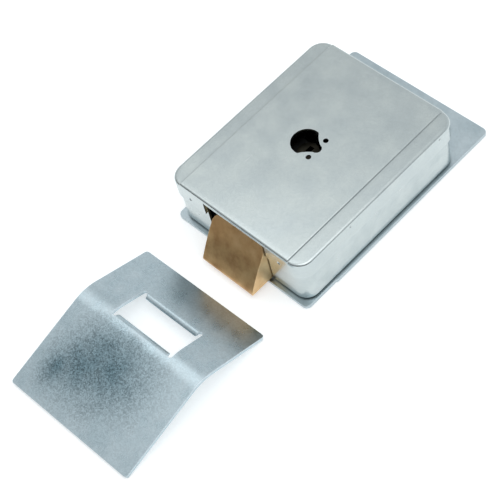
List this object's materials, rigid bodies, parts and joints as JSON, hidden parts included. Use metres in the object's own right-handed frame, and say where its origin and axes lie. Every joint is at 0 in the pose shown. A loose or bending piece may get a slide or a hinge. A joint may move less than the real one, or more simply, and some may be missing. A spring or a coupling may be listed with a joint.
{
  "type": "electric lock",
  "caption": "Flat rim lock case on a weld-on plate, with a bevelled spring bolt drawn back by a solenoid or a key cylinder, and a separate bent strike plate with a slot for the bolt.",
  "frame": {"origin": "centre of the underside of the mounting plate, which lies on the gate", "axes": "+Z is out of the gate towards the cover, the bolt is thrown towards -Y, and +X is to the right when the lock is seen from the cover with the bolt down"},
  "size_m": [0.09, 0.2496, 0.033],
  "materials": {
    "plate_steel": "zinc plated sheet",
    "case_steel": "bright zinc plated deep-drawn sheet",
    "cover_steel": "satin zinc plated pressed sheet",
    "strike_steel": "blue-tinged zinc plated sheet",
    "bracket_steel": "phosphated sheet",
    "tail_steel": "zinc plated strip",
    "lever_steel": "blanked strip",
    "yoke_steel": "zinc plated iron strip",
    "rivet_steel": "headed steel",
    "screw_steel": "turned steel",
    "pin_steel": "ground steel",
    "spring_steel": "drawn spring wire",
    "plunger_nickel": "nickel plated soft iron",
    "bolt_brass": "machined cast brass",
    "bush_brass": "turned brass",
    "follower_steel": "blackened machined steel",
    "winding_copper": "enamelled copper wire",
    "bobbin_plastic": "moulded nylon",
    "terminal_plastic": "moulded polyamide",
    "lead_plastic": "PVC sleeve",
    "grommet_rubber": "moulded rubber"
  },
  "bodies": {
    "lock_case": {"mounting_plate": "plate_steel", "case_body": "case_steel", "case_cover": "cover_steel", "case_rivets": "rivet_steel", "bolt_guide": "bracket_steel", "guide_rivets": "rivet_steel", "mechanism_bracket": "bracket_steel", "bracket_rivets": "rivet_steel", "spring_guide_rods": "pin_steel", "bolt_spring_left": "spring_steel", "bolt_spring_right": "spring_steel", "follower_bush": "bush_brass", "lever_pivot_pin": "pin_steel", "lever_clip": "spring_steel", "solenoid_yoke": "yoke_steel", "yoke_screws": "screw_steel", "coil_bobbin": "bobbin_plastic", "coil_winding": "winding_copper", "solenoid_core": "plunger_nickel", "terminal_block": "terminal_plastic", "terminal_screws": "screw_steel", "terminal_block_screw": "screw_steel", "coil_leads": "lead_plastic", "cable_grommet": "grommet_rubber", "strike_plate": "strike_steel"},
    "bolt": {"latch_bolt": "bolt_brass", "bolt_tail": "tail_steel", "bolt_tail_rivets": "rivet_steel"},
    "follower": {"key_follower": "follower_steel"},
    "lever": {"retractor_lever": "lever_steel"},
    "plunger": {"solenoid_plunger": "plunger_nickel", "plunger_cross_pin": "pin_steel"}
  },
  "joints": [
    {"name": "bolt_slide", "type": "slide", "parent": "lock_case", "child": "bolt", "axis": [0, 1, 0], "range_m": [0, 0.0132], "stiffness_N_per_m": 500, "springref_m": -0.015, "deforming": ["bolt_spring_left", "bolt_spring_right"]},
    {"name": "follower_turn", "type": "hinge", "parent": "lock_case", "child": "follower", "pos_m": [-0.004, -0.00905, 0.012], "axis": [0, 0, 1], "range_deg": [0, 46.2]},
    {"name": "lever_turn", "type": "hinge", "parent": "lock_case", "child": "lever", "pos_m": [0.0365, 0.00155, 0.0095], "axis": [0, 0, 1], "range_deg": [-29.7, 0]},
    {"name": "plunger_slide", "type": "slide", "parent": "lock_case", "child": "plunger", "axis": [0, 1, 0], "range_m": [0, 0.0077]}
  ],
  "couplings": [
    {"joint": "follower_turn", "follows": "bolt_slide", "rad_per_m": 60.993},
    {"joint": "lever_turn", "follows": "bolt_slide", "rad_per_m": -39.108},
    {"joint": "plunger_slide", "follows": "bolt_slide", "ratio": 0.58}
  ]
}
